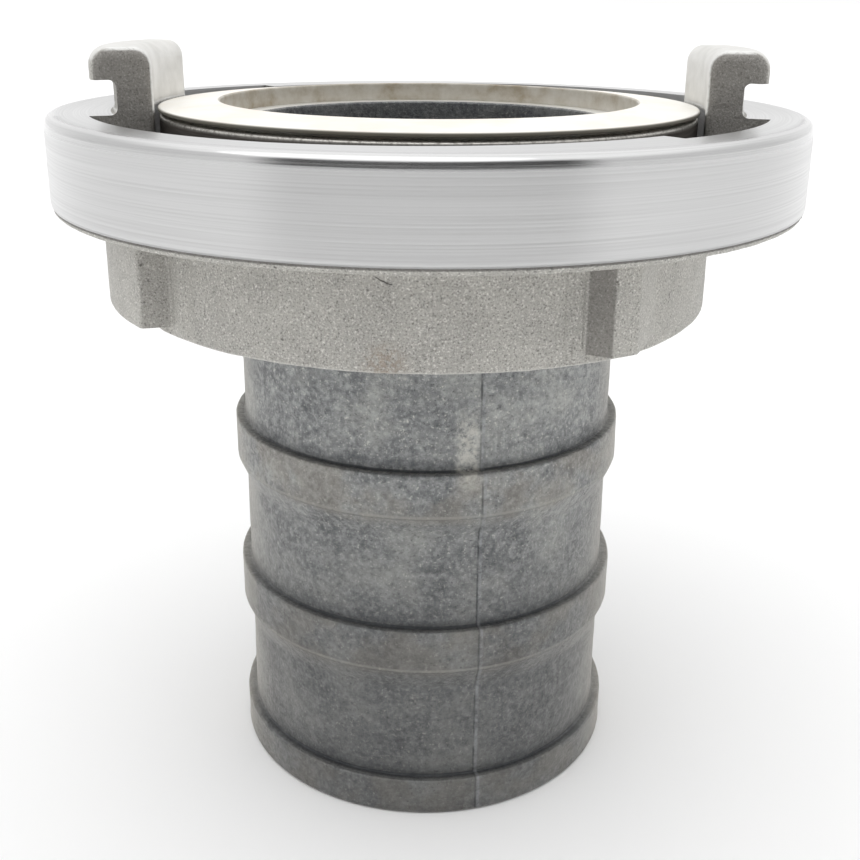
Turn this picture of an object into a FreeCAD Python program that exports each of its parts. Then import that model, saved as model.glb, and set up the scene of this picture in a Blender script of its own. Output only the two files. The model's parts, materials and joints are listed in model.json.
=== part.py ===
import FreeCAD, Part
import Sketcher
import math
import os

# Two-lug claw coupling with a swivelling head on a ridged hose tail.
# Millimetres. +Z is up, the origin is on the axis at the hose end of the tail,
# the lugs are on +X and -X, and the one on -X is the longer. Angles are in degrees about +Z from +X.

SIZES = {
    # hose tail: shank, ridges, journal and collar, all round the axis
    "tail_radius": 48.0,
    "bore_radius": 44.5,
    "ridge_radius": 50.4,
    "ridge_flat": 11.0,
    "ridge_taper": 5.5,
    "shoulder_one": 92.1,
    "shoulder_two": 51.7,
    "shoulder_three": 9.8,
    "end_round": 1.2,
    "journal_radius": 52.0,
    "journal_low": 134.0,
    "journal_cone": 5.0,
    "collar_radius": 64.8,
    "collar_top": 168.2,
    "collar_round": 1.0,
    "collar_clearance": 0.3,
    "seat_top": 166.4,
    "seat_radius": 50.5,
    "groove_radius": 61.5,
    "groove_floor": 160.5,
    # face seal
    "seal_play": 0.1,
    "seal_radius": 65.1,
    "seal_lip": 0.9,
    "seal_outer_top": 169.8,
    "seal_inner_top": 171.1,
    "seal_round": 0.4,
    # retaining ring, split, in the groove of the journal
    "ring_thickness": 3.2,
    "ring_radius": 57.5,
    "ring_depth": 2.2,
    "ring_play": 0.1,
    "ring_gap": 12.0,
    # coupling head: turned rim and web
    "rim_radius": 90.5,
    "rim_top": 169.1,
    "rim_bottom": 147.2,
    "rim_top_round": 1.9,
    "rim_low_round": 1.7,
    "entry_radius": 81.0,
    "web_top": 152.0,
    "hub_bottom": 141.9,
    "running_play": 0.08,
    # ledges that the mating lugs hook under
    "ledge_bottom": 163.0,
    "ledge_start_angle": -52.5,
    "ledge_start_radius": 75.7,
    "ledge_middle_angle": -82.0,
    "ledge_middle_radius": 78.3,
    "ledge_end_angle": -112.0,
    "ledge_root": 3.0,
    # hooked lugs
    "right_lug_start_angle": -19.2,
    "right_lug_end_angle": 11.8,
    "left_lug_start_angle": 162.6,
    "left_lug_end_angle": 202.7,
    "lug_inner_radius": 66.4,
    "stem_radius": 74.7,
    "hook_radius": 79.8,
    "hook_bottom": 176.7,
    "lug_top": 183.7,
    "throat_round": 1.6,
    "lug_inner_round": 4.0,
    "lug_outer_round": 4.3,
    "lug_end_round": 2.2,
    # skirt: oval outside, with spanner ears beside its two full panels
    "skirt_bottom": 123.8,
    "skirt_inner_radius": 64.5,
    "skirt_core_radius": 68.0,
    "panel_radius": 73.8,
    "panel_start_angle": -143.0,
    "panel_end_angle": -56.0,
    "side_radius": 69.4,
    "side_blend": 15.0,
    "ear_bottom": 126.2,
    "front_ear_radius": 78.9,
    "front_ear_root_angle": -69.6,
    "front_ear_wall_angle": -61.8,
    "front_ear_crest_radius": 78.9,
    "front_ear_crest_angle": -57.4,
    "front_ear_foot_radius": 71.5,
    "front_ear_foot_angle": -46.5,
    "back_ear_radius": 79.9,
    "back_ear_root_angle": 44.5,
    "back_ear_wall_angle": 39.7,
    "back_ear_crest_radius": 79.2,
    "back_ear_crest_angle": 17.0,
    "back_ear_foot_radius": 69.0,
    "back_ear_foot_angle": 5.0,
    "ear_round": 1.5,
    "casting_round": 0.8,
}

LUG_COUNT = 2


class Term:
    """A number together with the spreadsheet expression that gives it."""

    def __init__(self, text, value):
        self.text = text
        self.value = value

    def __add__(self, other):
        other = as_term(other)
        return Term(f"({self.text} + {other.text})", self.value + other.value)

    def __sub__(self, other):
        other = as_term(other)
        return Term(f"({self.text} - {other.text})", self.value - other.value)

    def __mul__(self, factor):
        factor = as_term(factor)
        return Term(f"({self.text} * {factor.text})", self.value * factor.value)

    def __neg__(self):
        return self * -1


def as_term(number):
    """Wrap a plain number as a Term."""
    return number if isinstance(number, Term) else Term(repr(float(number)), float(number))


def size(name):
    """The Term of one cell of the sheet."""
    return Term(f"Sizes.{name}", SIZES[name])


def polar(radius, angle):
    """A point from its radius and its angle about the axis."""
    turn = math.radians(angle.value)
    along = Term(f"({radius.text} * cos({angle.text}))", radius.value * math.cos(turn))
    across = Term(f"({radius.text} * sin({angle.text}))", radius.value * math.sin(turn))
    return along, across


def rounded(corner, radius, arrive, leave):
    """Steps round a square corner; arrive and leave point along the outline, as (x, y) signs."""
    x, y = corner
    before = (x - radius * arrive[0], y - radius * arrive[1])
    after = (x + radius * leave[0], y + radius * leave[1])
    inset = 1.0 - math.sqrt(0.5)
    middle = (x + radius * (inset * (leave[0] - arrive[0])), y + radius * (inset * (leave[1] - arrive[1])))
    return [line_to(before), arc_to(middle, after)]


def line_to(end):
    """A straight step of an outline."""
    return None, end


def arc_to(middle, end):
    """A step of an outline along the arc through middle."""
    return middle, end


def vector(point):
    return FreeCAD.Vector(point[0].value, point[1].value, 0)


def pin_point(sketch, element, vertex, point):
    """Hold one vertex of a sketch at a point given by two expressions."""
    for kind, term in (("DistanceX", point[0]), ("DistanceY", point[1])):
        index = sketch.addConstraint(Sketcher.Constraint(kind, -1, 1, element, vertex, term.value))
        sketch.setExpression(f"Constraints[{index}]", term.text)


def turns_left(start, middle, end):
    """Whether the arc from start through middle to end runs counter-clockwise."""
    return (middle - start).cross(end - middle).z > 0


def draw_edge(sketch, start, middle, end):
    """Draw one edge of an outline; return its index and its start and end vertex numbers."""
    if middle is None:
        return sketch.addGeometry(Part.LineSegment(start, end), False), 1, 2
    if turns_left(start, middle, end):
        return sketch.addGeometry(Part.Arc(start, middle, end), False), 1, 2
    return sketch.addGeometry(Part.Arc(end, middle, start), False), 2, 1


def origin_feature(body, role):
    """One of a body's own origin planes or axes."""
    return next(item for item in body.Origin.OriginFeatures if item.Role == role)


def outline(body, name, role, steps, height=None):
    """A closed sketch on an origin plane, every corner held by expressions."""
    sketch = body.newObject("Sketcher::SketchObject", name)
    sketch.AttachmentSupport = [(origin_feature(body, role), "")]
    sketch.MapMode = "FlatFace"
    if height is not None:
        sketch.setExpression("AttachmentOffset.Base.z", height.text)
    drawn = []
    start = vector(steps[-1][1])
    for middle, end in steps:
        through = None if middle is None else vector(middle)
        edge = draw_edge(sketch, start, through, vector(end))
        pin_point(sketch, edge[0], edge[2], end)
        drawn.append(edge)
        start = vector(end)
    for before, after in zip(drawn, drawn[1:] + drawn[:1]):
        sketch.addConstraint(Sketcher.Constraint("Coincident", before[0], before[2], after[0], after[1]))
    for (middle, _), edge in zip(steps, drawn):
        if middle is not None:
            mark = sketch.addGeometry(Part.Point(vector(middle)), True)
            pin_point(sketch, mark, 1, middle)
            sketch.addConstraint(Sketcher.Constraint("PointOnObject", mark, 1, edge[0]))
    return sketch


def turned(body, name, steps, kind="PartDesign::Revolution"):
    """A section of radius and height, turned once round the axis."""
    sketch = outline(body, name + "_section", "XZ_Plane", steps)
    feature = body.newObject(kind, name)
    feature.Profile = sketch
    feature.ReferenceAxis = (sketch, ["V_Axis"])
    feature.Angle = 360
    return feature


def raised(body, name, steps, bottom, top):
    """A flat outline raised from one height to another."""
    feature = body.newObject("PartDesign::Pad", name)
    feature.Profile = outline(body, name + "_outline", "XY_Plane", steps, bottom)
    feature.setExpression("Length", (top - bottom).text)
    return feature


def edges_where(shape, wanted):
    """Names of the edges whose middle point passes the test."""
    names = []
    for number, edge in enumerate(shape.Edges, start=1):
        middle = edge.valueAt((edge.FirstParameter + edge.LastParameter) / 2)
        if wanted(edge, middle):
            names.append(f"Edge{number}")
    return names


def fillet(document, body, name, radius, wanted):
    """Round the chosen edges of the body so far."""
    document.recompute()
    base = body.Tip
    names = edges_where(base.Shape, wanted)
    if not names:
        raise RuntimeError(f"no edges for {name}")
    feature = body.newObject("PartDesign::Fillet", name)
    feature.Base = (base, names)
    feature.setExpression("Radius", radius.text)
    document.recompute()
    if feature.Shape.isNull() or not feature.Shape.isValid():
        raise RuntimeError(f"{name} failed on {len(names)} edges")
    return feature


def close_to(value, term, slack=0.05):
    return abs(value - term.value) < slack


def radius_of(point):
    return math.hypot(point.x, point.y)


def is_spoke(edge):
    """Whether an edge runs straight out from the axis."""
    first, last = (vertex.Point for vertex in edge.Vertexes)
    return abs(first.x * last.y - first.y * last.x) < 0.5 and abs(radius_of(first) - radius_of(last)) > 1


def is_upright(edge):
    ends = [vertex.Point for vertex in edge.Vertexes]
    return len(ends) == 2 and (ends[0] - ends[1]).Length > 1 and radius_of(ends[0] - ends[1]) < 0.05


def make_sheet(document):
    """The driving dimensions, one aliased cell each."""
    sheet = document.addObject("Spreadsheet::Sheet", "Sizes")
    for row, (name, number) in enumerate(SIZES.items(), start=1):
        sheet.set(f"A{row}", name)
        sheet.set(f"B{row}", str(number))
        sheet.setAlias(f"B{row}", name)
    document.recompute()


def make_body(document, label):
    body = document.addObject("PartDesign::Body", label)
    body.Label = label
    body.Placement = FreeCAD.Placement()
    return body


def ridge_steps(shoulder):
    """One ridge of the tail from its flat shoulder down to the foot of its taper."""
    outer, shank = size("ridge_radius"), size("tail_radius")
    flat_end = shoulder - size("ridge_flat")
    return [
        line_to((shank, flat_end - size("ridge_taper"))),
        line_to((outer, flat_end)),
        line_to((outer, shoulder)),
        line_to((shank, shoulder)),
    ]


def make_hose_tail(document):
    """The cast tail: ridged shank, journal with a ring groove, collar with a seal groove."""
    body = make_body(document, "hose_tail")
    bore, shank, outer = size("bore_radius"), size("tail_radius"), size("ridge_radius")
    journal, collar, seat = size("journal_radius"), size("collar_radius"), size("seat_radius")
    collar_low = size("web_top") + size("collar_clearance")
    journal_low = size("journal_low")
    zero = size("tail_radius") * 0
    steps = [line_to((bore, zero))]
    steps += rounded((outer, zero), size("end_round"), (1, 0), (0, 1))
    steps += [line_to((outer, size("shoulder_three"))), line_to((shank, size("shoulder_three")))]
    steps += ridge_steps(size("shoulder_two"))
    steps += ridge_steps(size("shoulder_one"))
    steps += [
        line_to((shank, journal_low - size("journal_cone"))),
        line_to((journal, journal_low)),
        line_to((journal, collar_low)),
        line_to((collar, collar_low)),
    ]
    steps += rounded((collar, size("collar_top")), size("collar_round"), (0, 1), (-1, 0))
    steps += [
        line_to((size("groove_radius"), size("collar_top"))),
        line_to((size("groove_radius"), size("groove_floor"))),
        line_to((seat, size("groove_floor"))),
        line_to((seat, size("seat_top"))),
        line_to((bore, size("seat_top"))),
    ]
    turned(body, "tail_casting", steps)
    groove_top = size("hub_bottom") - size("collar_clearance") + size("ring_play")
    groove_low = groove_top - size("ring_thickness") - size("ring_play") * 2
    groove_bottom = journal - size("ring_depth")
    beyond = journal + size("ring_depth")
    turned(body, "ring_groove", [
        line_to((groove_bottom, groove_low)),
        line_to((beyond, groove_low)),
        line_to((beyond, groove_top)),
        line_to((groove_bottom, groove_top)),
    ], "PartDesign::Groove")
    return body


def make_face_seal(document):
    """The moulded seal: a body in the collar's groove and a thin lip over its edge."""
    body = make_body(document, "face_seal")
    inner = size("seat_radius") + size("seal_play")
    neck = size("groove_radius") - size("seal_play")
    lip_low = size("seal_outer_top") - size("seal_lip")
    rounding = size("seal_round")
    steps = [
        line_to((inner, size("groove_floor"))),
        line_to((neck, size("groove_floor"))),
        line_to((neck, lip_low)),
        line_to((size("seal_radius"), lip_low)),
    ]
    steps += rounded((size("seal_radius"), size("seal_outer_top")), rounding, (0, 1), (-1, 0))
    steps += rounded((inner, size("seal_inner_top")), rounding, (-1, 0), (0, -1))
    turned(body, "seal_moulding", steps)
    return body


def make_retaining_ring(document):
    """The split ring that keeps the head on the tail."""
    body = make_body(document, "retaining_ring")
    inner = size("journal_radius") - size("ring_depth") + size("ring_play")
    outer = size("ring_radius")
    top = size("hub_bottom") - size("collar_clearance")
    bottom = top - size("ring_thickness")
    turned(body, "ring_blank", [
        line_to((inner, bottom)),
        line_to((outer, bottom)),
        line_to((outer, top)),
        line_to((inner, top)),
    ])
    half_gap = size("ring_gap") * 0.5
    split = body.newObject("PartDesign::Pocket", "ring_split")
    split.Profile = outline(body, "split_outline", "XY_Plane", [
        line_to((-outer - half_gap, -half_gap)),
        line_to((-inner + half_gap, -half_gap)),
        line_to((-inner + half_gap, half_gap)),
        line_to((-outer - half_gap, half_gap)),
    ], top + half_gap)
    split.setExpression("Length", (size("ring_thickness") + size("ring_gap")).text)
    return body


def head_section():
    """The turned section of the head: rim, web, hub with the swivel bore, low skirt wall."""
    journal_bore = size("journal_radius") + size("running_play")
    skirt_inner, skirt_core = size("skirt_inner_radius"), size("skirt_core_radius")
    rim, under = size("rim_radius"), size("rim_bottom")
    steps = [
        line_to((journal_bore, size("hub_bottom"))),
        line_to((skirt_inner, size("hub_bottom"))),
        line_to((skirt_inner, size("skirt_bottom"))),
        line_to((skirt_core, size("skirt_bottom"))),
        line_to((skirt_core, under)),
    ]
    steps += rounded((rim, under), size("rim_low_round"), (1, 0), (0, 1))
    steps += rounded((rim, size("rim_top")), size("rim_top_round"), (0, 1), (-1, 0))
    steps += [
        line_to((size("entry_radius"), size("rim_top"))),
        line_to((size("entry_radius"), size("web_top"))),
        line_to((journal_bore, size("web_top"))),
    ]
    return steps


def ledge_steps():
    """A ledge: a tongue whose inner edge opens out slowly until it meets the rim's wall."""
    first, last = size("ledge_start_angle"), size("ledge_end_angle")
    root = size("entry_radius") + size("ledge_root")
    through = polar(size("ledge_middle_radius"), size("ledge_middle_angle"))
    return [
        line_to(polar(size("ledge_start_radius"), first)),
        arc_to(through, polar(size("entry_radius"), last)),
        line_to(polar(root, last)),
        arc_to(polar(root, (first + last) * 0.5), polar(root, first)),
    ]


def lug_steps(side, outer):
    """A curved block from the lugs' inner face out to a radius, with square ends."""
    first, last = size(f"{side}_lug_start_angle"), size(f"{side}_lug_end_angle")
    inner, middle = size("lug_inner_radius"), (first + last) * 0.5
    return [
        line_to(polar(outer, first)),
        arc_to(polar(outer, middle), polar(outer, last)),
        line_to(polar(inner, last)),
        arc_to(polar(inner, middle), polar(inner, first)),
    ]


def skirt_root():
    """A radius inside the skirt's wall, where its outside and the ears are rooted."""
    return (size("skirt_inner_radius") + size("skirt_core_radius")) * 0.5


def skirt_steps():
    """Half of the skirt's outside: a full panel, then one slow curve past the low side."""
    root, full = skirt_root(), size("panel_radius")
    first, second = size("panel_start_angle"), size("panel_end_angle")
    last = first + 180
    return [
        line_to(polar(full, first)),
        arc_to(polar(full, (first + second) * 0.5), polar(full, second)),
        arc_to(polar(size("side_radius"), (second + last) * 0.5), polar(full, last)),
        line_to(polar(root, last)),
        arc_to(polar(root, (first + last) * 0.5), polar(root, first)),
    ]


def ear_steps(name):
    """An ear: a steep wall that leans outwards, a crest and a face that falls to the skirt."""
    full, top = size(f"{name}_radius"), size(f"{name}_crest_radius")
    wall, crest = size(f"{name}_wall_angle"), size(f"{name}_crest_angle")
    root, foot = size(f"{name}_root_angle"), size(f"{name}_foot_angle")
    return [
        line_to(polar(full, wall)),
        arc_to(polar((full + top) * 0.5, (wall + crest) * 0.5), polar(top, crest)),
        line_to(polar(size(f"{name}_foot_radius"), foot)),
        line_to(polar(skirt_root(), foot)),
        arc_to(polar(skirt_root(), (root + foot) * 0.5), polar(skirt_root(), root)),
    ]


def raise_lug(body, side):
    """One lug: a root let into the rim, a stem and a hook."""
    low = (size("web_top") + size("rim_bottom")) * 0.5
    rim, top = size("rim_top"), size("lug_top")
    root, stem, hook = size("entry_radius") + size("ledge_root"), size("stem_radius"), size("hook_radius")
    raised(body, f"{side}_lug_root", lug_steps(side, root), low, rim)
    raised(body, f"{side}_lug_stem", lug_steps(side, stem), rim - size("ledge_root"), top)
    raised(body, f"{side}_lug_hook", lug_steps(side, hook), size("hook_bottom"), top)


def repeated(document, body, name, features):
    """Repeat features evenly round the axis, once for each lug."""
    document.recompute()
    pattern = body.newObject("PartDesign::PolarPattern", name)
    pattern.Originals = features
    pattern.Axis = (origin_feature(body, "Z_Axis"), [""])
    pattern.Angle = 360
    pattern.Occurrences = LUG_COUNT
    body.Tip = pattern


def make_coupling_head(document):
    """The lug head. What isn't turned comes twice, half a turn apart."""
    body = make_body(document, "coupling_head")
    turned(body, "head_blank", head_section())
    web_middle = (size("web_top") + size("rim_bottom")) * 0.5
    features = [
        raised(body, "ledge", ledge_steps(), size("ledge_bottom"), size("rim_top")),
        raised(body, "skirt", skirt_steps(), size("skirt_bottom"), web_middle),
    ]
    repeated(document, body, "second_side", features)
    for side in ("right", "left"):
        raise_lug(body, side)
    round_lugs(document, body)
    fillet(document, body, "side_blends", size("side_blend"), lambda edge, middle: (
        is_upright(edge) and close_to(radius_of(middle), size("panel_radius"))))
    fillet(document, body, "skirt_rounds", size("casting_round"), lambda edge, middle: (
        close_to(middle.z, size("skirt_bottom")) and radius_of(middle) > size("skirt_core_radius").value))
    ears = [raised(body, name, ear_steps(name), size("ear_bottom"), web_middle)
            for name in ("front_ear", "back_ear")]
    repeated(document, body, "second_ears", ears)
    fillet(document, body, "ear_rounds", size("ear_round"), lambda edge, middle: (
        is_upright(edge) and on_ear_wall(middle)))
    return body


def round_lugs(document, body):
    """The roundings of the lugs."""
    top, hook = size("lug_top"), size("hook_bottom")
    inner, stem, out = size("lug_inner_radius"), size("stem_radius"), size("hook_radius")
    fillet(document, body, "throat_rounds", size("throat_round"), lambda edge, middle: (
        close_to(radius_of(middle), stem)
        and (close_to(middle.z, hook) or close_to(middle.z, size("rim_top")))))
    fillet(document, body, "lug_inner_rounds", size("lug_inner_round"), lambda edge, middle: (
        close_to(middle.z, top) and close_to(radius_of(middle), inner)))
    fillet(document, body, "lug_outer_rounds", size("lug_outer_round"), lambda edge, middle: (
        close_to(middle.z, top) and close_to(radius_of(middle), out)))
    fillet(document, body, "lug_end_rounds", size("lug_end_round"), lambda edge, middle: (
        close_to(middle.z, top) and is_spoke(edge)))


def on_ear_wall(point):
    """Whether a point lies at the upright outer or inner edge of an ear's wall."""
    if point.z < size("ear_bottom").value or point.z > size("rim_bottom").value:
        return False
    if radius_of(point) < size("panel_radius").value - 0.5:
        return False
    turn = math.degrees(math.atan2(point.y, point.x))
    for name in ("front_ear", "back_ear"):
        across = (turn - size(f"{name}_wall_angle").value) % 180
        if min(across, 180 - across) < 3.2:
            return True
    return False


def check_and_export(document, bodies):
    """Stop on any failed object, then write one file for each sub-part."""
    for item in document.Objects:
        if "Invalid" in item.State or "Error" in item.State:
            raise RuntimeError(f"{item.Name} failed: {item.State}")
    for body in bodies:
        if body.Shape.isNull() or not body.Shape.isValid():
            raise RuntimeError(f"{body.Label} has no valid shape")
    os.makedirs("parts", exist_ok=True)
    for body in bodies:
        body.Shape.exportStep(f"parts/{body.Label}.step")
        box = body.Shape.BoundBox
        print(f"{body.Label}: {len(body.Shape.Solids)} solid, {body.Shape.Volume / 1000:.1f} cm3,"
              f" z {box.ZMin:.2f} to {box.ZMax:.2f}")


def main():
    document = FreeCAD.newDocument("claw_coupling")
    make_sheet(document)
    makers = (make_hose_tail, make_face_seal, make_retaining_ring, make_coupling_head)
    bodies = [make(document) for make in makers]
    document.recompute()
    check_and_export(document, bodies)


main()
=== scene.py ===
import json
import math

import bpy
import numpy as np
from mathutils import Matrix

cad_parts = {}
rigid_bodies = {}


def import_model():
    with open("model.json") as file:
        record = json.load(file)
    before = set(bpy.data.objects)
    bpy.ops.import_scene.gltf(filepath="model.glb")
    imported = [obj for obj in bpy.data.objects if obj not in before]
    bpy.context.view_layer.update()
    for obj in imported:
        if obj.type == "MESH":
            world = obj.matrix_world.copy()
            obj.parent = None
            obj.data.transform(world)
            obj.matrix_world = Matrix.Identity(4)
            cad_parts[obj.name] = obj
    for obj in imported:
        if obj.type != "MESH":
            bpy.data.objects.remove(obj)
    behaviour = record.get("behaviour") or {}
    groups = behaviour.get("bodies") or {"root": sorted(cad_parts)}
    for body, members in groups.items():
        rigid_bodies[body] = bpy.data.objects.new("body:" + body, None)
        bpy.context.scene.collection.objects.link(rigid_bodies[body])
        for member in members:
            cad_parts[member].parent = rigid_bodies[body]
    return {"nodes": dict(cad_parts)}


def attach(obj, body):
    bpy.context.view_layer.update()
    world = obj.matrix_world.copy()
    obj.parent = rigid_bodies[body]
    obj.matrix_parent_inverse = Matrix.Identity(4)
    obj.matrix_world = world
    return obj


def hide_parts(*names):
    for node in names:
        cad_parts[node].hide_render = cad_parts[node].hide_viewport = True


# Looks of a two-lug claw coupling on a ridged hose tail. Blender objects are in
# metres; the shaping functions below work in millimetres, in the same frame.

for old in list(bpy.data.objects):
    bpy.data.objects.remove(old)
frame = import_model()
bpy.context.view_layer.update()

MM = 0.001

# hose tail: radii, heights and the angles of its two mould seams
BORE, SHANK, RIDGE = 44.5, 48.0, 50.4
RIDGE_FLAT, RIDGE_TAPER = 11.0, 5.5
SHOULDERS = (9.8, 51.7, 92.1)
JOURNAL, JOURNAL_LOW, JOURNAL_CONE = 52.0, 134.0, 5.0
SNAP_DEPTH, SNAP_LOW, SNAP_HIGH = 2.2, 138.3, 141.7
COLLAR, COLLAR_LOW, COLLAR_TOP = 64.8, 152.3, 168.2
SEAT, SEAT_TOP = 50.5, 166.4
SEAL_GROOVE, GROOVE_FLOOR = 61.5, 160.5
SEAM_FRONT = -74.7
SEAMS = (SEAM_FRONT, SEAM_FRONT + 180)

# face seal and retaining ring
SEAL_PLAY, SEAL_LIP_RADIUS, SEAL_LIP = 0.1, 65.1, 0.9
SEAL_OUTER_TOP, SEAL_INNER_TOP = 169.8, 171.1
RING_INNER, RING_OUTER, RING_LOW, RING_HIGH, RING_GAP = 49.9, 57.5, 138.4, 141.6, 12.0

# coupling head
RIM, RIM_TOP, RIM_TOP_ROUND = 90.5, 169.1, 1.9
ENTRY, WEB_TOP = 81.0, 152.0
LUG_INNER, LUG_TOP = 66.4, 183.7
PANEL, SKIRT_LOW = 73.8, 123.8
STRIP_TOP = 149.12
EAR_BEADS = ((-138.0, -135.0), (-66.6, -64.8))
EAR_GROOVES = ((-134.6, -131.8), (-68.2, -66.8))
TOOL_FEED = 0.72
STAIN = (-8.2, -73.3, 126.0)
FLAW_ANGLE, FLAW_HEIGHT = -96.6, 142.7


# ---------------------------------------------------------------- shape noise

class Lumps:
    """Seeded gradient noise over space, about -0.7 to 0.7, for casting unevenness."""

    def __init__(self, seed):
        draw = np.random.default_rng(seed)
        self.order = np.tile(draw.permutation(256), 2)
        slopes = draw.normal(size=(256, 3))
        self.slopes = slopes / np.linalg.norm(slopes, axis=1)[:, None]

    def __call__(self, points, pitch):
        place = points / pitch
        cell = np.floor(place).astype(int)
        inside = place - cell
        blend = inside ** 3 * (inside * (inside * 6 - 15) + 10)
        total = np.zeros(len(points))
        for corner in np.ndindex(2, 2, 2):
            index = (cell + corner) & 255
            hashed = self.order[self.order[index[:, 0]] + index[:, 1]]
            slope = self.slopes[self.order[hashed + index[:, 2]]]
            share = np.where(corner, blend, 1 - blend).prod(1)
            total += share * ((inside - corner) * slope).sum(1)
        return total


def ramp(value, start, end):
    """0 before start, 1 after end, smooth between; start may be above end."""
    share = np.clip((value - start) / (end - start), 0.0, 1.0)
    return share * share * (3 - 2 * share)


def unit(vectors):
    return vectors / np.maximum(np.linalg.norm(vectors, axis=-1, keepdims=True), 1e-12)


def radius_of(points):
    return np.hypot(points[:, 0], points[:, 1])


def azimuth_of(points):
    return np.degrees(np.arctan2(points[:, 1], points[:, 0]))


# ------------------------------------------------------------------- meshes

def add_mesh(name, points, faces, normals=None):
    """A smooth-shaded object from millimetre points, with corner normals if given."""
    mesh = bpy.data.meshes.new(name)
    mesh.from_pydata((points * MM).tolist(), [], faces.tolist() if hasattr(faces, "tolist") else faces)
    mesh.shade_smooth()
    if normals is not None:
        mesh.normals_split_custom_set(normals.reshape(-1, 3).tolist())
    mesh.validate()
    piece = bpy.data.objects.new(name, mesh)
    bpy.context.scene.collection.objects.link(piece)
    return piece


def corner_arc(before, corner, after, rounding):
    """Points of the rounding at one corner of an outline."""
    before, corner, after = (np.array(p[:2], float) for p in (before, corner, after))
    arrive, leave = unit(corner - before), unit(after - corner)
    turn = math.acos(np.clip(arrive @ leave, -1, 1))
    if rounding <= 0 or turn < 1e-3:
        return [corner]
    cut = rounding * math.tan(turn / 2)
    start = corner - arrive * cut
    side = np.sign(arrive[0] * leave[1] - arrive[1] * leave[0])
    centre = start + side * rounding * np.array([-arrive[1], arrive[0]])
    count = max(3, int(math.ceil(math.degrees(turn) / 9)))
    spoke = start - centre
    arc = []
    for step in range(count + 1):
        angle = side * turn * step / count
        cos, sin = math.cos(angle), math.sin(angle)
        arc.append(centre + np.array([spoke[0] * cos - spoke[1] * sin, spoke[0] * sin + spoke[1] * cos]))
    return arc


def outline_of(corners, spacing):
    """A closed outline through (across, up, rounding) corners, evenly divided."""
    knots = []
    for index, corner in enumerate(corners):
        after = corners[(index + 1) % len(corners)]
        knots += corner_arc(corners[index - 1], corner, after, corner[2])
    points = []
    for index, knot in enumerate(knots):
        following = knots[(index + 1) % len(knots)]
        count = max(1, int(math.ceil(np.linalg.norm(following - knot) / spacing)))
        points += [knot + (following - knot) * step / count for step in range(count)]
    return np.array(points)


def turned(name, corners, spacing, angles, shape, closed=True):
    """The outline turned about Z through the angles, then moved by shape."""
    outline = outline_of(corners, spacing)
    rows, columns = len(outline), len(angles)
    cos, sin = np.cos(angles), np.sin(angles)
    points = np.empty((rows, columns, 3))
    points[:, :, 0] = outline[:, :1] * cos
    points[:, :, 1] = outline[:, :1] * sin
    points[:, :, 2] = outline[:, 1:]
    slope = np.roll(outline, -1, 0) - np.roll(outline, 1, 0)
    outward = unit(np.stack([slope[:, 1], -slope[:, 0]], 1))
    normals = np.empty_like(points)
    normals[:, :, 0] = outward[:, :1] * cos
    normals[:, :, 1] = outward[:, :1] * sin
    normals[:, :, 2] = outward[:, 1:]
    points, normals = points.reshape(-1, 3), normals.reshape(-1, 3)
    points = points + normals * shape(points)[:, None]
    row = np.arange(rows)[:, None]
    column = np.arange(columns if closed else columns - 1)[None, :]
    next_row, next_column = (row + 1) % rows, (column + 1) % columns
    faces = np.stack([
        row * columns + column,
        row * columns + next_column,
        next_row * columns + next_column,
        next_row * columns + column,
    ], 2).reshape(-1, 4).tolist()
    if not closed:
        faces.append([r * columns for r in range(rows)])
        faces.append([r * columns + columns - 1 for r in reversed(range(rows))])
    return add_mesh(name, points, faces)


def full_circle(count, dense_at=(), dense_half=3.0, dense_step=0.35):
    """Angles round the axis in radians, closer together near the given degrees."""
    angles = list(np.arange(count) * 360.0 / count)
    for centre in dense_at:
        near = [a for a in angles if abs((a - centre + 180) % 360 - 180) < dense_half]
        angles = [a for a in angles if a not in near]
        extra = np.arange(-dense_half, dense_half + 1e-6, dense_step)
        angles += [(centre + e) % 360 for e in extra]
    return np.radians(np.array(sorted(set(angles))))


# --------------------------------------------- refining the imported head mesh

def corners_of(node):
    """Welded points, triangles and exact corner normals of a CAD node, in mm."""
    mesh = frame["nodes"][node].data
    mesh.calc_loop_triangles()
    count, loops = len(mesh.vertices), len(mesh.loops)
    place = np.empty(count * 3)
    mesh.vertices.foreach_get("co", place)
    place = place.reshape(-1, 3) / MM
    normal = np.empty(loops * 3)
    mesh.corner_normals.foreach_get("vector", normal)
    normal = normal.reshape(-1, 3)
    vertex = np.empty(len(mesh.loop_triangles) * 3, int)
    mesh.loop_triangles.foreach_get("vertices", vertex)
    corner = np.empty(len(mesh.loop_triangles) * 3, int)
    mesh.loop_triangles.foreach_get("loops", corner)
    _, first, welded = np.unique(
        np.round(place * 1000).astype(int), axis=0, return_index=True, return_inverse=True)
    triangles = welded.reshape(-1)[vertex].reshape(-1, 3)
    normals = normal[corner].reshape(-1, 3, 3)
    kept = (triangles != np.roll(triangles, 1, 1)).all(1)
    return place[first], triangles[kept], normals[kept]


def bulge(span, start_normal, end_normal):
    """How far an edge's middle stands off its chord, from the tangents at its ends."""
    start = span - (span * start_normal).sum(1)[:, None] * start_normal
    end = span - (span * end_normal).sum(1)[:, None] * end_normal
    return (start - end) / 8


def crease_bulge(span, sides):
    """The same for a sharp edge, whose tangents lie on both of its faces."""
    length = np.linalg.norm(span, axis=1, keepdims=True)
    tangents = []
    for end in (0, 1):
        across = np.cross(sides[:, 0, end], sides[:, 1, end])
        size = np.linalg.norm(across, axis=1, keepdims=True)
        along = across / np.maximum(size, 1e-9)
        along = along * np.sign((along * span).sum(1, keepdims=True))
        usable = (size > 0.15) & ((along * span).sum(1, keepdims=True) > 0.8 * length)
        tangents.append(np.where(usable, along * length, span))
    return (tangents[0] - tangents[1]) / 8


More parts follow.
